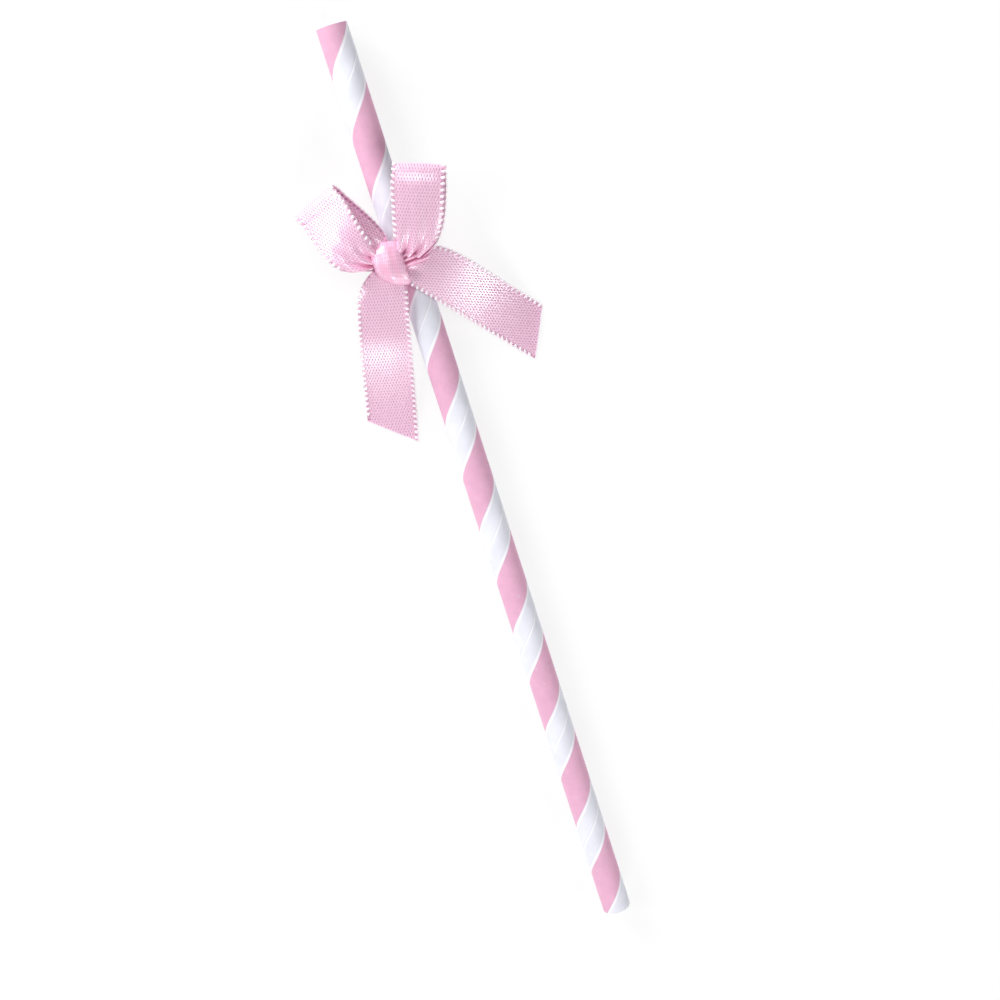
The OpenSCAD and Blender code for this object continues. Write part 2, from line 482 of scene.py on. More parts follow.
def join(pieces: Sequence[Piece], name: str) -> Piece:
    """Joins pieces into one object.

    Args:
        pieces: The pieces.
        name: The joined object's name.

    Returns:
        The joined object.
    """
    select(*pieces)
    bpy.ops.object.join()
    joined = bpy.context.object
    joined.name = name
    joined.data.name = name
    return joined


def dress(piece: Piece, material: bpy.types.Material) -> None:
    """Gives a piece one material."""
    piece.data.materials.clear()
    piece.data.materials.append(material)


# The straw


@dataclass
class WoundStraw:
    """The spirally wound paper tube: one strip, whose edges meet in a seam down the white stripe.

    turn is the stripe's start in degrees, seam_share the seam's place in the stripe's turn, and
    lip the height of the strip's edge over its body. merge is the distance, in metres, below
    which two vertices are one.
    """

    length: float = 197.0
    radius: float = 3.1
    wall: float = 0.45
    pitch: float = 23.6
    turn: float = 18.0
    steps: int = 96
    seam_share: float = 0.75
    lip: float = 0.03
    lip_start: float = 0.1
    lip_width: float = 2.0
    body_rows: tuple = (0.2, 0.4, 0.6, 0.8)
    sharp: float = 50.0
    merge: float = 1e-6
    name: str = "wound_straw"

    def strip_profile(self) -> list[tuple[float, float]]:
        """Section of the wound strip from one edge to the other.

        Returns:
            Pairs of distance along the straw from the strip's lower edge, and radius.
        """
        low, high = self.radius - self.lip / 2, self.radius + self.lip / 2
        return [
            (0.0, high), (self.lip_start, low),
            *((self.pitch * share, low) for share in self.body_rows),
            (self.pitch - self.lip_width, low), (self.pitch - self.lip_width / 2, high),
            (self.pitch, high),
        ]

    def strip_start(self) -> float:
        """Where the strip's lower edge crosses the +X side.

        Returns:
            Its place along the straw, below the lower mouth.
        """
        turns = (self.turn / 360.0 + self.seam_share) % 1.0
        first = self.length + self.pitch * turns
        return first - self.pitch * (math.ceil(first / self.pitch) + 1)

    def build(self) -> Piece:
        """Winds the strip, cuts it to length and gives it its wall.

        Returns:
            The straw.
        """
        deselect()
        start = self.strip_start()
        profile = self.strip_profile()
        bpy.ops.mesh.primitive_grid_add(x_subdivisions=1, y_subdivisions=len(profile) - 1, size=1.0)
        straw = bpy.context.object
        straw.name = straw.data.name = self.name
        with editing(straw):
            bpy.ops.mesh.select_all(action="DESELECT")
        for vertex in straw.data.vertices:
            vertex.select = vertex.co.x < 0
        bpy.ops.object.mode_set(mode="EDIT")
        bpy.ops.mesh.delete(type="VERT")
        bpy.ops.object.mode_set(mode="OBJECT")
        rows = sorted(straw.data.vertices, key=lambda v: v.co.y)
        for vertex, (travelled, reach) in zip(rows, profile):
            vertex.co = Vector((reach, start + travelled, 0.0)) * MM
        turns = math.ceil((self.length - start) / self.pitch) + 1
        apply_modifier(
            straw, "SCREW", axis="Y", angle=math.tau, steps=self.steps, render_steps=self.steps,
            screw_offset=self.pitch * MM, iterations=turns, use_merge_vertices=True,
            merge_threshold=self.merge,
        )
        with editing(straw):
            bpy.ops.mesh.remove_doubles(threshold=2 * self.merge)
        self.trim(straw, 0.0, above=False)
        self.trim(straw, self.length, above=True)
        self.face_out(straw)
        apply_modifier(straw, "SOLIDIFY", thickness=self.wall * MM, offset=-1.0, use_rim=True)
        smooth(straw, self.sharp)
        return straw

    def trim(self, straw: Piece, height: float, above: bool) -> None:
        """Cuts the wound tube square across, and removes what is above the cut or below it."""
        with editing(straw):
            bpy.ops.mesh.bisect(
                plane_co=(0.0, height * MM, 0.0), plane_no=(0.0, 1.0, 0.0), use_fill=False,
                clear_inner=not above, clear_outer=above, threshold=self.merge / 10,
            )

    @staticmethod
    def face_out(straw: Piece) -> None:
        """Turns the open tube's faces outwards.

        Args:
            straw: The open tube.
        """
        face = straw.data.polygons[0]
        if face.normal.dot(Vector((face.center.x, 0.0, face.center.z))) < 0:
            with editing(straw):
                bpy.ops.mesh.flip_normals()

    def dress(self, straw: Piece) -> None:
        """Puts the striped paper on the straw and sets what it stands for.

        Args:
            straw: The straw.
        """
        dress(straw, StripedPaper(self.pitch, self.turn, self.length, self.radius).material())
        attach(straw, ROOT)
        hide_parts("straw_tube")


# The ribbon


def mix(a: float | Point, b: float | Point, t: float) -> float | Point:
    """A value or a place between two others."""
    return a + (b - a) * t


def ease(t: float) -> float:
    """A smooth step from 0 to 1."""
    t = min(1.0, max(0.0, t))
    return t * t * (3 - 2 * t)


def unit(vector: Point) -> Point:
    """A vector's direction."""
    return vector / np.linalg.norm(vector)


def bezier(points: np.ndarray, t: float) -> Point:
    """A place on a cubic curve."""
    a, b, c, d = points
    return a * (1 - t) ** 3 + 3 * b * t * (1 - t) ** 2 + 3 * c * t * t * (1 - t) + d * t ** 3


def bezier_slope(points: np.ndarray, t: float) -> Point:
    """The direction of a cubic curve."""
    a, b, c, d = points
    return unit((b - a) * (1 - t) ** 2 + 2 * (c - b) * t * (1 - t) + (d - c) * t * t)


@dataclass(frozen=True)
class Layer:
    """A layer of ribbon that leaves the knot with a selvedge, or its middle, on a smooth line.

    heading is in degrees from +X towards +Y. line_knot and line_end are the line's places
    aside of the heading at the knot and at the far end, to the right. gather is the length over
    which the layer opens from the width pinch, after the length tuck. crown is the rise of its
    middle, and pleated the share of its pleats' full depth.
    """

    heading: float
    line_knot: float
    line_end: float
    gather: float
    side: Side = Side.MIDDLE
    tuck: float = 0.0
    pinch: float = 3.0
    crown: float = 0.0
    pleated: float = 1.0

    @property
    def level(self) -> Point:
        """The level direction to the right of the heading."""
        turn = math.radians(self.heading)
        return np.array([math.sin(turn), -math.cos(turn), 0.0])

    @property
    def out(self) -> Point:
        """The level direction along the heading."""
        turn = math.radians(self.heading)
        return np.array([math.cos(turn), math.sin(turn), 0.0])


@dataclass(frozen=True)
class Fold:
    """The far end of a layer, where a loop turns back under itself.

    radius is half the fold's thickness and nose the length over which it rounds off. height is
    from the knot's middle and bulge is the front layer's rise above the knot. In degrees, dip is
    the front layer's fall where it meets the fold, roll turns the fold about the heading, and
    slant sets its left side further out.
    """

    reach: float
    radius: float = 0.0
    nose: float = 0.0
    height: float = 0.0
    bulge: float = 0.0
    dip: float = 0.0
    roll: float = 0.0
    slant: float = 0.0


@dataclass(frozen=True)
class Tail:
    """A tail: its layer, its reach, and in degrees its cut's slant and its end's roll.

    wave is the rise, reach and spread of a gentle wave, and crease the distances from the knot
    where a crease on its right side starts and ends, and the crease's depth.
    """

    layer: Layer
    length: float
    slant: float
    wave: tuple
    roll: float = 0.0
    crease: tuple | None = None


@dataclass
class Station:
    """One section of the ribbon.

    slanted is the step across the ribbon for each unit of its width, and shear the part of it
    that lies along the weave. crease is the side at which the ribbon breaks downwards, and
    crease_run how far over it takes to fall by crease_depth.
    """

    middle: Point
    across: Point
    along: Point
    slanted: Point
    chord: float
    crown: float
    depth: float
    shear: float = 0.0
    crease: float = 2.0
    crease_depth: float = 0.0
    crease_run: float = 0.45

    def lift(self, side: float, pleats: int) -> float:
        """Rise of the ribbon at a side, from -1 at the left selvedge to 1 at the right one."""
        return (
            self.crown * (1 - side * side) + self.depth * math.cos(math.pi * pleats * side)
            - self.crease_depth * ease((side - self.crease) / self.crease_run)
        )


def travel(stations: list[Station]) -> np.ndarray:
    """The distance from the first section to each, along their middles."""
    steps = np.diff([s.middle for s in stations], axis=0)
    return np.concatenate([[0.0], np.cumsum(np.linalg.norm(steps, axis=1))])


@dataclass(frozen=True)
class Strand:
    """A run of ribbon: its sections, the length that the knot hides, and whether its end is cut.

    A strand without a hidden length has no stitches.
    """

    name: str
    stations: list[Station]
    hidden: float | None = None
    cut: bool = False

    def shown(self) -> list[Station]:
        """The part of the run whose selvedges aren't buried in the knot.

        Returns:
            Its sections.
        """
        reach = travel(self.stations)
        end = reach[-1] - (0.0 if self.cut else self.hidden)
        return [s for s, distance in zip(self.stations, reach) if self.hidden <= distance <= end]


@dataclass(frozen=True)
class Stitch:
    """A small shape that repeats along the selvedges.

    offset is its place out from the selvedge, phase its place in the pitch, slant its turn in
    degrees, and lift its rise above the ribbon.
    """

    name: str
    size: tuple
    offset: float = 0.0
    phase: float = 0.0
    slant: float = 0.0
    lift: float = 0.0


@dataclass
class RibbonBow:
    """One length of satin ribbon: two loops, two tails, the knot and the turn round the straw.

    width goes over the picots and body_width over the weave. open_share is the share of hidden
    width from which the pleats have their full depth. The band over the knot has a narrow left
    end and a wide right end, whose places along the straw are knot_lean; it starts and ends at
    the angles band_ends, band_round squares its round and band_over lifts it. shoulder is a
    tail's high point, as a share of its reach and a rise, and landing the share where it lies
    down. loop_shares are where a loop's two curves bend. lying is the height of a lying tail's
    middle, and contact the least height of any point, both above the floor. crowd_full is the
    hidden width, per unit shown, at which the gathers count as deepest, and crowd_ridge what
    the ridges have of that. picot_wire is half a picot's thread before it is flattened.
    """

    straw_radius: float = 3.1
    clearance: float = 0.05
    straw_length: float = 197.0
    width: float = 10.8
    body_width: float = 10.1
    thickness: float = 0.24
    pleats: int = 3
    open_share: float = 0.4
    knot_from_top: float = 46.0
    knot_aside: float = 3.7
    knot_height: float = 4.6
    knot_length: float = 6.2
    knot_wide_end: float = 7.8
    knot_narrow_end: float = 4.0
    knot_lean: tuple = (1.2, -0.4)
    knot_crown: float = 1.2
    band_ends: tuple = (-60.0, 240.0)
    band_round: float = 0.9
    band_over: float = 0.3
    band_pleat: float = 0.05
    shoulder: tuple = (0.3, 0.2)
    landing: float = 0.72
    lying: float = 0.15
    contact: float = 0.14
    loop_shares: tuple = (0.35, 0.7)
    crease_sides: tuple = (0.3, 0.95)
    crowd_full: float = 1.3
    crowd_ridge: float = 0.45
    wrap_width: float = 4.8
    wrap_thickness: float = 0.45
    wrap_pleat: float = 0.11
    ply: float = 0.4
    columns: int = 48
    sharp: float = 60.0
    stitch_pitch: float = 1.15
    picot_wire: float = 0.1
    knot_hides: float = 3.72
    turn_hides: float = 1.2
    flat_length: float = 190.0

    left_front: Layer = Layer(120.0, 0.3, 4.9, side=Side.LEFT, tuck=2.0, gather=3.6, crown=0.25)
    left_back: Layer = Layer(120.0, -0.5, -1.4, tuck=1.0, gather=2.0)
    top_front: Layer = Layer(70.5, 0.8, -0.6, side=Side.RIGHT, tuck=0.4, gather=4.0, crown=0.6)
    top_back: Layer = Layer(70.5, 1.2, 0.1, side=Side.RIGHT, tuck=0.4, gather=4.0)
    down_tail: Tail = Tail(
        Layer(-104.0, -3.3, -3.7, side=Side.RIGHT, gather=3.0, pinch=5.5, crown=0.35, pleated=0.2),
        length=34.5, slant=-27.0, wave=(0.28, 14.5, 4.2), roll=4.0, crease=(3.6, 13.0, 0.5),
    )
    right_tail: Tail = Tail(
        Layer(-48.5, 1.3, 1.9, side=Side.LEFT, tuck=1.5, gather=2.4, crown=0.25, pleated=0.5),
        length=33.6, slant=24.0, wave=(-0.25, 20.7, 6.0),
    )
    left_fold: Fold = Fold(
        18.9, radius=2.2, nose=3.3, height=-1.9, bulge=1.1, dip=12.0, roll=24.0, slant=-9.0,
    )
    top_fold: Fold = Fold(19.4, radius=1.3, nose=3.1, height=2.7, bulge=0.8, dip=-8.0)
    bunch_layer: Layer = Layer(8.0, 0.3, 0.5, gather=40.0, pinch=2.2, crown=0.3)
    bunch_line: tuple = ((0.0, 0.2), (3.0, 0.9), (5.5, 0.3), (7.6, -0.6))

    bead: Stitch = Stitch("bead", (0.31, 0.50, 0.24), offset=-0.22, phase=0.5, slant=22.0, lift=0.12)
    picot: Stitch = Stitch("picot", (0.50, 0.26, 1.0))

    @property
    def body_share(self) -> float:
        """Share of the width that the woven body takes, inside the picots."""
        return self.body_width / self.width

    @property
    def knot_bottom(self) -> float:
        """Height of the knot's underside, on the straw."""
        return self.straw_radius + self.clearance

    @property
    def knot_top(self) -> float:
        """Height of the knot's top."""
        return self.knot_bottom + self.knot_height

    @property
    def knot_middle(self) -> Point:
        """Middle of the knot."""
        height = (self.knot_bottom + self.knot_top) / 2
        return np.array([-self.knot_aside, self.straw_length - self.knot_from_top, height])

    @property
    def floor(self) -> float:
        """Height of what the bow lies on."""
        return -self.straw_radius - self.clearance - self.wrap_thickness

    def chord(self, layer: Layer, reach: float) -> float:
        """Width of a gathered layer at a reach from the knot."""
        opened = max(0.0, reach - layer.tuck) / layer.gather
        return self.width - (self.width - layer.pinch) * math.exp(-opened)

    def pleat_depth(self, chord: float) -> float:
        """Depth of the pleats that take up the hidden width."""
        hidden = max(0.0, self.width / chord - 1)
        return chord / (math.pi * self.pleats) * math.sqrt(hidden) * min(1.0, hidden / self.open_share)

    def aside(self, layer: Layer, reach: float, length: float, roll: float) -> float:
        """Place of a layer's middle to the right of its heading."""
        half = self.chord(layer, reach) / 2 * math.cos(math.radians(roll))
        return mix(layer.line_knot, layer.line_end, ease(reach / length)) + layer.side.value * half

    def station(self, layer: Layer, place: Point, pivot: float, slope: Point, aside: float,
                chord: float, crown: float, roll: float, shear: float) -> Station:
        """A section of a layer.

        Args:
            layer: The layer.
            place: Reach and height of the section's middle before the roll.
            pivot: Height that the roll turns the section about.
            slope: Direction of travel, along the heading and up.
            aside: Place of the section's middle to the right of the heading.
            chord: Width.
            crown: Rise of the middle.
            roll: Turn about the heading, in degrees.
            shear: Step along the heading for each unit across.

        Returns:
            The section.
        """
        tilt = math.radians(roll)
        z_axis = np.array([0.0, 0.0, 1.0])
        across = layer.level * math.cos(tilt) + z_axis * math.sin(tilt)
        rise = z_axis * math.cos(tilt) - layer.level * math.sin(tilt)
        middle = (
            self.knot_middle + layer.out * place[0] + layer.level * aside
            + z_axis * (pivot - self.knot_middle[2]) + rise * (place[1] - pivot)
        )
        along = layer.out * slope[0] + rise * slope[1]
        return Station(
            middle, across, along, across + layer.out * shear, chord, crown,
            self.pleat_depth(chord) * layer.pleated, shear,
        )

    def layer_station(self, layer: Layer, profile: np.ndarray, t: float, fold: Fold,
                      slant_shear: float = 0.0) -> Station:
        """A layer's section at a share of its profile.

        Args:
            layer: The layer.
            profile: Four points of the layer's side view, as reach and height.
            t: Share of the profile.
            fold: The layer's far end.
            slant_shear: Extra step along the heading for each unit across.

        Returns:
            The section.
        """
        place = bezier(profile, t)
        opened = ease(place[0] / fold.reach)
        roll = fold.roll * opened
        middle = self.knot_middle[2]
        pivot = mix(middle, middle + fold.height, opened) if roll else place[1]
        return self.station(
            layer, place, pivot, bezier_slope(profile, t),
            self.aside(layer, place[0], fold.reach, roll), self.chord(layer, place[0]),
            layer.crown * ease(place[0] / self.width), roll,
            slant_shear + math.tan(math.radians(fold.slant)) * opened ** 2,
        )

    def tail(self, tail: Tail, count: int = 90) -> list[Station]:
        """Sections of a tail from the knot to its cut end.

        Args:
            tail: The tail.
            count: Sections.

        Returns:
            The sections.
        """
        length, middle, lying = tail.length, self.knot_middle[2], self.floor + self.lying
        share, rise = self.shoulder
        profile = np.array([
            [0.0, middle], [share * length, middle + rise],
            [self.landing * length, lying], [length, lying],
        ])
        shear = math.tan(math.radians(tail.slant))
        end = Fold(length, height=lying - middle, roll=tail.roll)
        height, crest, spread = tail.wave
        stations = []
        for t in np.linspace(0.0, 1.0, count + 1):
            station = self.layer_station(tail.layer, profile, t, end, shear * t ** 3)
            station.middle[2] += height * math.exp(-((bezier(profile, t)[0] - crest) / spread) ** 2)
            stations.append(station)
        if tail.crease:
            self.crease(stations, *tail.crease)
        return stations

    def crease(self, stations: list[Station], start: float, end: float, depth: float) -> None:
        """Breaks a tail's right side down along an arc near the knot.

        Args:
            stations: The tail's sections, which are changed.
            start: Distance from the knot where the arc starts, in the tail's middle.
            end: Distance where it has run out at the right selvedge.
            depth: Drop of the right side.
        """
        for station, distance in zip(stations, travel(stations)):
            share = (distance - start) / (end - start)
            if 0 <= share <= 1:
                station.crease = mix(*self.crease_sides, math.sqrt(share))
                station.crease_depth = depth * ease(share * 5) * ease((1 - share) * 2)

    def loop(self, front: Layer, back: Layer, fold: Fold, count: int = 50,
             fold_count: int = 28) -> list[Station]:
        """Sections of a loop: its front layer, its fold and its back layer.

        Args:
            front: The front layer.
            back: The back layer.
            fold: The fold between them.
            count: Sections of each layer.
            fold_count: Sections of the fold.

        Returns:
            The sections.
        """
        length, radius, nose = fold.reach, fold.radius, fold.nose
        middle = self.knot_middle[2]
        bulge, fold_z = self.knot_top + fold.bulge, middle + fold.height
        end, fall = length - nose, math.tan(math.radians(fold.dip))
        near, far = (share * length for share in self.loop_shares)
        turns = np.linspace(math.atan2(radius, nose * fall), -math.pi / 2, fold_count + 1)
        meeting = np.array([end + nose * math.cos(turns[0]), fold_z + radius * math.sin(turns[0])])
        front_profile = np.array([
            [self.knot_length / 3, middle + self.ply], [near, bulge],
            [far, meeting[1] + (meeting[0] - far) * fall], meeting,
        ])
        back_z = fold_z - radius
        back_profile = np.array([
            [end, back_z], [far, back_z],
            [near, mix(back_z, middle - self.ply, 0.5)], [0.0, middle - self.ply],
        ])
        fronts = [self.layer_station(front, front_profile, i / count, fold) for i in range(count + 1)]
        backs = [self.layer_station(back, back_profile, i / count, fold) for i in range(count + 1)]
        last, first = fronts[-1], backs[0]
        folds = []
        for i, turn in enumerate(turns[1:-1], 1):
            share = i / fold_count
            place = np.array([end + nose * math.cos(turn), fold_z + radius * math.sin(turn)])
            slope = unit(np.array([nose * math.sin(turn), -radius * math.cos(turn)]))
            opened = mix(ease(meeting[0] / length), ease(end / length), share)
            roll = fold.roll * opened
            aside = (
                self.aside(front, meeting[0], length, roll), self.aside(back, end, length, roll),
            )
            folds.append(self.station(
                front, place, fold_z, slope, mix(*aside, share), mix(last.chord, first.chord, share),
                mix(last.crown, first.crown, share), roll,
                math.tan(math.radians(fold.slant)) * opened ** 2,
            ))
        return fronts + folds + backs

    def crossing(self, count: int = 64) -> list[Station]:
        """Sections of the band that goes over the knot, narrow on its left and wide on its right.

        Args:
            count: Sections.

        Returns:
            The sections.
        """
        across, out = np.array([1.0, 0.0, 0.0]), np.array([0.0, 1.0, 0.0])
        half_length = self.knot_length / 2
        half_height = self.knot_height / 2 - self.knot_crown + self.band_over
        narrow, wide = self.knot_narrow_end / 2, self.knot_wide_end / 2
        left, right = self.knot_lean
        turns = np.radians(np.linspace(*self.band_ends, count + 1))
        reaches, sines = -np.cos(turns), np.sin(turns)
        rises = np.sign(sines) * np.abs(sines) ** self.band_round
        middles = [
            self.knot_middle + out * (left + right + (narrow + wide) * reach) / 2
            + np.array([0.0, 0.0, half_height * rise])
            for reach, rise in zip(reaches, rises)
        ]
        stations = []
        for i, (middle, reach) in enumerate(zip(middles, reaches)):
            along = unit(middles[min(count, i + 1)] - middles[max(0, i - 1)])
            fan = (right - left + (wide - narrow) * reach) / 2
            stations.append(Station(
                middle, across, along, across + out * fan / half_length,
                self.knot_length, self.knot_crown, self.band_pleat,
            ))
        return stations

    def bunch(self, count: int = 24) -> list[Station]:
        """Sections of the gathered fold between the top loop and the right tail.

        Args:
            count: Sections.

        Returns:
            The sections.
        """
        profile = np.array(self.bunch_line) + np.array([0.0, self.knot_middle[2]])
        end = Fold(profile[-1, 0])
        return [
            self.layer_station(self.bunch_layer, profile, i / count, end) for i in range(count + 1)
        ]

    def wrap(self, count: int = 120, lead_count: int = 11) -> list[Station]:
        """Sections of the gathered turn round the straw, from the knot and back to it.

        Args:
            count: Sections round the straw.
            lead_count: Sections of each straight lead between the knot and the straw.

        Returns:
            The sections.
        """
        reach = self.straw_radius + self.clearance + self.wrap_thickness * 0.5
        anchor = np.array([self.knot_middle[0], self.knot_middle[2] - self.knot_height / 4])
        heading = math.atan2(anchor[1], anchor[0])
        opening = math.acos(reach / np.linalg.norm(anchor))
        turns = np.linspace(heading - opening, heading + opening - math.tau, count)
        ring = reach * np.stack([np.cos(turns), np.sin(turns)], axis=1)
        leads = np.linspace(0.0, 1.0, lead_count, endpoint=False)[:, None]
        path = np.concatenate([
            anchor + (ring[0] - anchor) * leads, ring, (anchor + (ring[-1] - anchor) * leads)[::-1],
        ])
        stations = []
        across = np.array([0.0, -1.0, 0.0])
        for i, (x, z) in enumerate(path):
            step = path[min(len(path) - 1, i + 1)] - path[max(0, i - 1)]
            along = unit(np.array([step[0], 0.0, step[1]]))
            middle = np.array([x, self.knot_middle[1], z])
            stations.append(Station(
                middle, across, along, across, self.wrap_width, 0.0, self.wrap_pleat,
            ))
        return stations

    def place(self, station: Station, side: float) -> tuple[Point, Point]:
        """A point of the ribbon's middle surface, and the direction out of it.

        Args:
            station: The section.
            side: From -1 at the left picots to 1 at the right ones.

        Returns:
            The point and the outward direction.
        """
        up = np.cross(station.across, station.along)
        across = station.slanted * side * station.chord / 2
        point = station.middle + across + up * station.lift(side, self.pleats)
        point[2] = max(point[2], self.floor + self.contact)
        return point, up

    def crowding(self, station: Station, side: float) -> float:
        """How deep in the gathers a point lies.

        Args:
            station: The point's section.
            side: From -1 at the left picots to 1 at the right ones.

        Returns:
            From 0 on open ribbon to 1.
        """
        valley = (1 - math.cos(math.pi * self.pleats * side)) / 2
        share = ease((self.width / station.chord - 1) / self.crowd_full)
        return share * mix(self.crowd_ridge, 1.0, valley)

    def sweep(self, strand: Strand) -> Piece:
        """Shapes a grid into a strand of ribbon and gives it its thickness.

        Args:
            strand: The strand.

        Returns:
            The ribbon along the strand.
        """
        deselect()
        rows = len(strand.stations) - 1
        bpy.ops.mesh.primitive_grid_add(
            x_subdivisions=self.columns, y_subdivisions=rows, size=1.0, calc_uvs=True,
        )
        ribbon = bpy.context.object
        mesh = ribbon.data
        ribbon.name = mesh.name = strand.name
        reach = travel(strand.stations)
        crowd, ends, weave = [], [], []
        for vertex in mesh.vertices:
            side = vertex.co.x * 2 * self.body_share
            row = round((vertex.co.y + 0.5) * rows)
            station = strand.stations[row]
            vertex.co = Vector(self.place(station, side)[0] * MM)
            crowd.append(self.crowding(station, side))
            ends.append(float(strand.cut and row == rows))
            along = reach[row] + station.shear * side * station.chord / 2
            weave.append((side * self.width / 2 / UV_UNIT, along / UV_UNIT))
        for key, values in (("crowd", crowd), ("cut", ends)):
            mesh.attributes.new(key, "FLOAT", "POINT").data.foreach_set("value", values)
        layer = mesh.uv_layers[0]
        layer.name = "ribbon"
        for corner in mesh.loops:
            layer.data[corner.index].uv = weave[corner.vertex_index]
        apply_modifier(ribbon, "SOLIDIFY", thickness=self.thickness * MM, offset=0.0, use_rim=True)
        smooth(ribbon, self.sharp)
        return ribbon

    def stitch_frames(self, stitch: Stitch, stations: list[Station],
                      side: float) -> Iterator[Matrix]:
        """Places of a stitch along one selvedge, spaced evenly in the weave.

        Args:
            stitch: The stitch.
            stations: The strand's sections.
            side: -1 for the left selvedge, 1 for the right one.

        Yields:
            The place, turn and unit of each copy.
        """
        edge = np.array([self.place(s, side * self.body_share)[0] for s in stations])
        inner = np.array([self.place(s, side * (self.body_share - 0.1))[0] for s in stations])
        ups = np.array([self.place(s, side)[1] for s in stations])
        shift = np.array([s.shear * side * self.body_share * s.chord / 2 for s in stations])
        woven = travel(stations) + shift
        first = math.ceil(woven[0] / self.stitch_pitch)
        slant = math.radians(stitch.slant)
        for k in range(first, int(woven[-1] / self.stitch_pitch)):
            at = (k + stitch.phase) * self.stitch_pitch
            row = int(np.clip(np.searchsorted(woven, at) - 1, 0, len(stations) - 2))
            share = (at - woven[row]) / max(1e-9, woven[row + 1] - woven[row])
            place = mix(edge[row], edge[row + 1], share)
            along = unit(edge[row + 1] - edge[row])
            out = place - mix(inner[row], inner[row + 1], share)
            out = unit(out - along * float(out @ along))
            up = np.cross(along, out)
            up = up if up @ ups[row] > 0 else -up
            forward = out * math.cos(slant) + along * math.sin(slant)
            beside = np.cross(forward, up)
            middle = place + out * stitch.offset + up * stitch.lift
            turned = Matrix((beside, forward, up)).transposed().to_4x4()
            yield Matrix.Translation(Vector(middle * MM)) @ turned @ Matrix.Scale(MM, 4)

    def stitch_pattern(self, stitch: Stitch) -> Piece:
        """Models one stitch, in millimetres: a slanted bead of thread, or a small open picot loop.

        Args:
            stitch: The stitch.

        Returns:
            The pattern.
        """
        deselect()
        if stitch is self.bead:
            bpy.ops.mesh.primitive_uv_sphere_add(segments=8, ring_count=6, radius=1.0)
        else:
            bpy.ops.mesh.primitive_torus_add(
                major_segments=14, minor_segments=5, major_radius=1.0,
                minor_radius=self.picot_wire,
            )
        pattern = bpy.context.object
        pattern.name = pattern.data.name = stitch.name
        with editing(pattern):
            if stitch is self.picot:
                bpy.ops.mesh.bisect(
                    plane_co=(0.0, -self.picot_wire, 0.0), plane_no=(0.0, 1.0, 0.0),
                    use_fill=True, clear_inner=True,
                )
                bpy.ops.mesh.select_all(action="SELECT")
            bpy.ops.transform.resize(value=stitch.size, center_override=(0.0, 0.0, 0.0))
        bpy.ops.object.shade_smooth()
        return pattern

    def stitches(self, stitch: Stitch, runs: Sequence[list[Station]]) -> Piece:
        """Sets copies of a stitch along the selvedges.

        Args:
            stitch: The stitch.
            runs: The sections in view of each strand.

        Returns:
            The stitches as one object.
        """
        pattern = self.stitch_pattern(stitch)
        copies = []
        for stations in runs:
            for side in (-1.0, 1.0):
                for frame_of_copy in self.stitch_frames(stitch, stations, side):
                    copy = pattern.copy()
                    copy.data = pattern.data.copy()
                    copy.matrix_world = frame_of_copy
                    bpy.context.collection.objects.link(copy)
                    copies.append(copy)
        bpy.data.objects.remove(pattern, do_unlink=True)
        stitched = join(copies, stitch.name + "_stitches")
        bpy.ops.object.transform_apply(location=True, rotation=True, scale=True)
        return stitched

    def build(self) -> tuple[Piece, Piece]:
        """Makes the ribbon and its stitches.

        Returns:
            The ribbon and its picot stitches.
        """
        left_loop = self.loop(self.left_front, self.left_back, self.left_fold)
        top_loop = self.loop(self.top_front, self.top_back, self.top_fold)
        strands = [
            Strand("left_loop", left_loop, self.knot_hides),
            Strand("top_loop", top_loop, self.knot_hides),
            Strand("down_tail", self.tail(self.down_tail), self.knot_hides, cut=True),
            Strand("right_tail", self.tail(self.right_tail), self.knot_hides, cut=True),
            Strand("crossing", self.crossing()),
            Strand("bunch", self.bunch()),
            Strand("straw_turn", self.wrap(), self.turn_hides),
        ]
        swept = [self.sweep(strand) for strand in strands]
        runs = [strand.shown() for strand in strands if strand.hidden is not None]
        stitched = [self.stitches(stitch, runs) for stitch in (self.bead, self.picot)]
        return join(swept, "satin_ribbon"), join(stitched, "picot_stitches")

    def dress(self, ribbon: Piece, stitches: Piece) -> None:
        """Args:
            ribbon: The ribbon.
            stitches: Its picot stitches.
        """
        dress(ribbon, SatinWeave(self.body_width, self.stitch_pitch).material())
        dress(stitches, PicotThread().material())
        for piece in (ribbon, stitches):
            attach(piece, ROOT)
        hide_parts("ribbon_bow")
        self.width * MM


# The studio


@dataclass(frozen=True)
class Lamp:
    """A square soft lamp: the direction it hangs in from the bow, its size and its power."""

    name: str
    direction: tuple
    size: float
    power: float


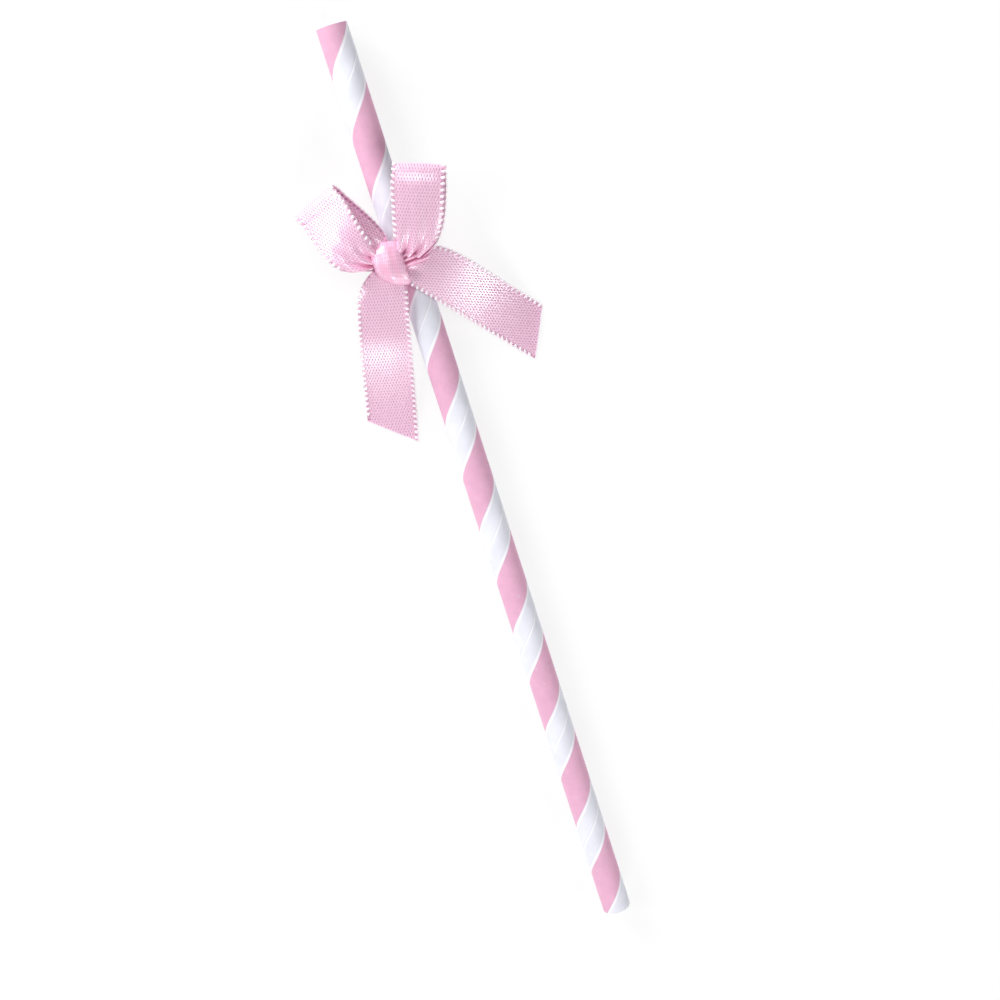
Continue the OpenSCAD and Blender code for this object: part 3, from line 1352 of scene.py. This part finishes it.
@dataclass
class Studio:
    """A white table, soft light and the camera that looks down at the straw.

    Lengths are metres here. floor_glow is the share of plain white in what the camera sees of
    the table, which lifts the light grey of its floor_tone and keeps the shadow.
    """

    camera_place: tuple = (-0.00352, 0.17319, 0.29411)
    camera_aim: tuple = (0.00295, 0.09779, 0.0)
    camera_roll: float = -17.81
    lens: float = 52.56
    sensor: float = 36.0
    clip: tuple = (0.01, 50.0)
    floor_middle: tuple = (0.0, 0.1, -0.0036)
    floor_size: float = 6.0
    floor_tone: float = 0.94
    floor_glow: float = 0.8
    wall_height: float = 1.5
    bow_place: tuple = (0.0, 0.145, 0.003)
    room_level: float = 0.06
    lamp_distance: float = 1.0
    lamps: tuple = (
        Lamp("up_light", (-0.38, 0.87, 0.30), 0.45, 11.5),
        Lamp("top_light", (0.12, 0.32, 0.94), 0.36, 2.3),
        Lamp("right_light", (0.60, -0.63, 0.50), 0.28, 3.8),
        Lamp("left_light", (-0.72, 0.24, 0.64), 0.36, 3.3),
        Lamp("low_light", (-0.25, -0.87, 0.42), 0.28, 4.2),
    )

    def build_camera(self) -> None:
        """Sets the camera as the photographer held it."""
        data = bpy.data.cameras.new("camera")
        data.lens, data.sensor_width = self.lens, self.sensor
        data.clip_start, data.clip_end = self.clip
        camera = bpy.data.objects.new("camera", data)
        bpy.context.collection.objects.link(camera)
        look = Vector(self.camera_aim) - Vector(self.camera_place)
        back = -look.normalized()
        right = Vector((0.0, 1.0, 0.0)).cross(back).normalized()
        up = back.cross(right)
        turn = Matrix((right, up, back)).transposed().to_4x4()
        roll = Matrix.Rotation(math.radians(self.camera_roll), 4, "Z")
        camera.matrix_world = Matrix.Translation(Vector(self.camera_place)) @ turn @ roll
        bpy.context.scene.camera = camera

    def build_floor(self) -> Piece:
        """Lays the white table and its upturned sides, white to the camera, with the shadow kept.

        Returns:
            The table's top.
        """
        deselect()
        bpy.ops.mesh.primitive_plane_add(size=self.floor_size, location=self.floor_middle)
        floor = bpy.context.object
        floor.name = floor.data.name = "table_top"
        with editing(floor):
            bpy.ops.mesh.select_mode(type="EDGE")
            bpy.ops.mesh.select_all(action="SELECT")
            bpy.ops.mesh.extrude_edges_move(
                TRANSFORM_OT_translate={"value": (0.0, 0.0, self.wall_height)},
            )
            bpy.ops.mesh.select_mode(type="VERT")
        bpy.ops.object.transform_apply(location=True, rotation=False, scale=False)
        s = Shader("table_white")
        rays = s.node("ShaderNodeLightPath")
        seen = (
            Signal(s, rays.outputs["Is Camera Ray"]) + Signal(s, rays.outputs["Is Glossy Ray"])
            + Signal(s, rays.outputs["Is Transmission Ray"])
        ).math("MINIMUM", 1.0)
        matt = s.signal("ShaderNodeBsdfDiffuse", None, 0, Color=(*[self.floor_tone] * 3, 1.0))
        glow = s.signal("ShaderNodeEmission", None, 0, Color=(1.0, 1.0, 1.0, 1.0), Strength=1.0)
        mixed = s.node("ShaderNodeMixShader", None, in0=seen * self.floor_glow, in1=matt, in2=glow)
        s.node("ShaderNodeOutputMaterial", None, Surface=Signal(s, mixed.outputs[0]))
        dress(floor, s.material)
        return floor

    def build_light(self) -> None:
        """Hangs the soft lamps in a pale room."""
        target = Vector(self.bow_place)
        for lamp in self.lamps:
            data = bpy.data.lights.new(lamp.name, "AREA")
            data.size, data.energy = lamp.size, lamp.power
            hung = bpy.data.objects.new(lamp.name, data)
            bpy.context.collection.objects.link(hung)
            direction = Vector(lamp.direction).normalized()
            hung.location = target + direction * self.lamp_distance
            hung.rotation_euler = direction.to_track_quat("Z", "Y").to_euler()
        world = bpy.data.worlds.new("room")
        bpy.context.scene.world = world
        world.use_nodes = True
        room = world.node_tree.nodes["Background"]
        room.inputs["Color"].default_value = (1.0, 1.0, 1.0, 1.0)
        room.inputs["Strength"].default_value = self.room_level
        bpy.context.scene.view_settings.view_transform = "Standard"


def report(*pieces: Piece) -> None:
    """Logs each piece's triangles.

    Args:
        pieces: The pieces.
    """
    for piece in pieces:
        count = sum(len(p.vertices) - 2 for p in piece.data.polygons)
        log.info("%s: %d triangles", piece.name, count)


def main() -> None:
    """Builds the studio and the object's pieces in order."""
    logging.basicConfig(level=logging.INFO, format="%(name)s: %(message)s")
    studio = Studio()
    studio.build_camera()
    straw = WoundStraw()
    tube = straw.build()
    straw.dress(tube)
    bow = RibbonBow()
    ribbon, stitches = bow.build()
    bow.dress(ribbon, stitches)
    studio.build_floor()
    studio.build_light()
    report(tube, ribbon, stitches)


if __name__ == "__main__":
    main()
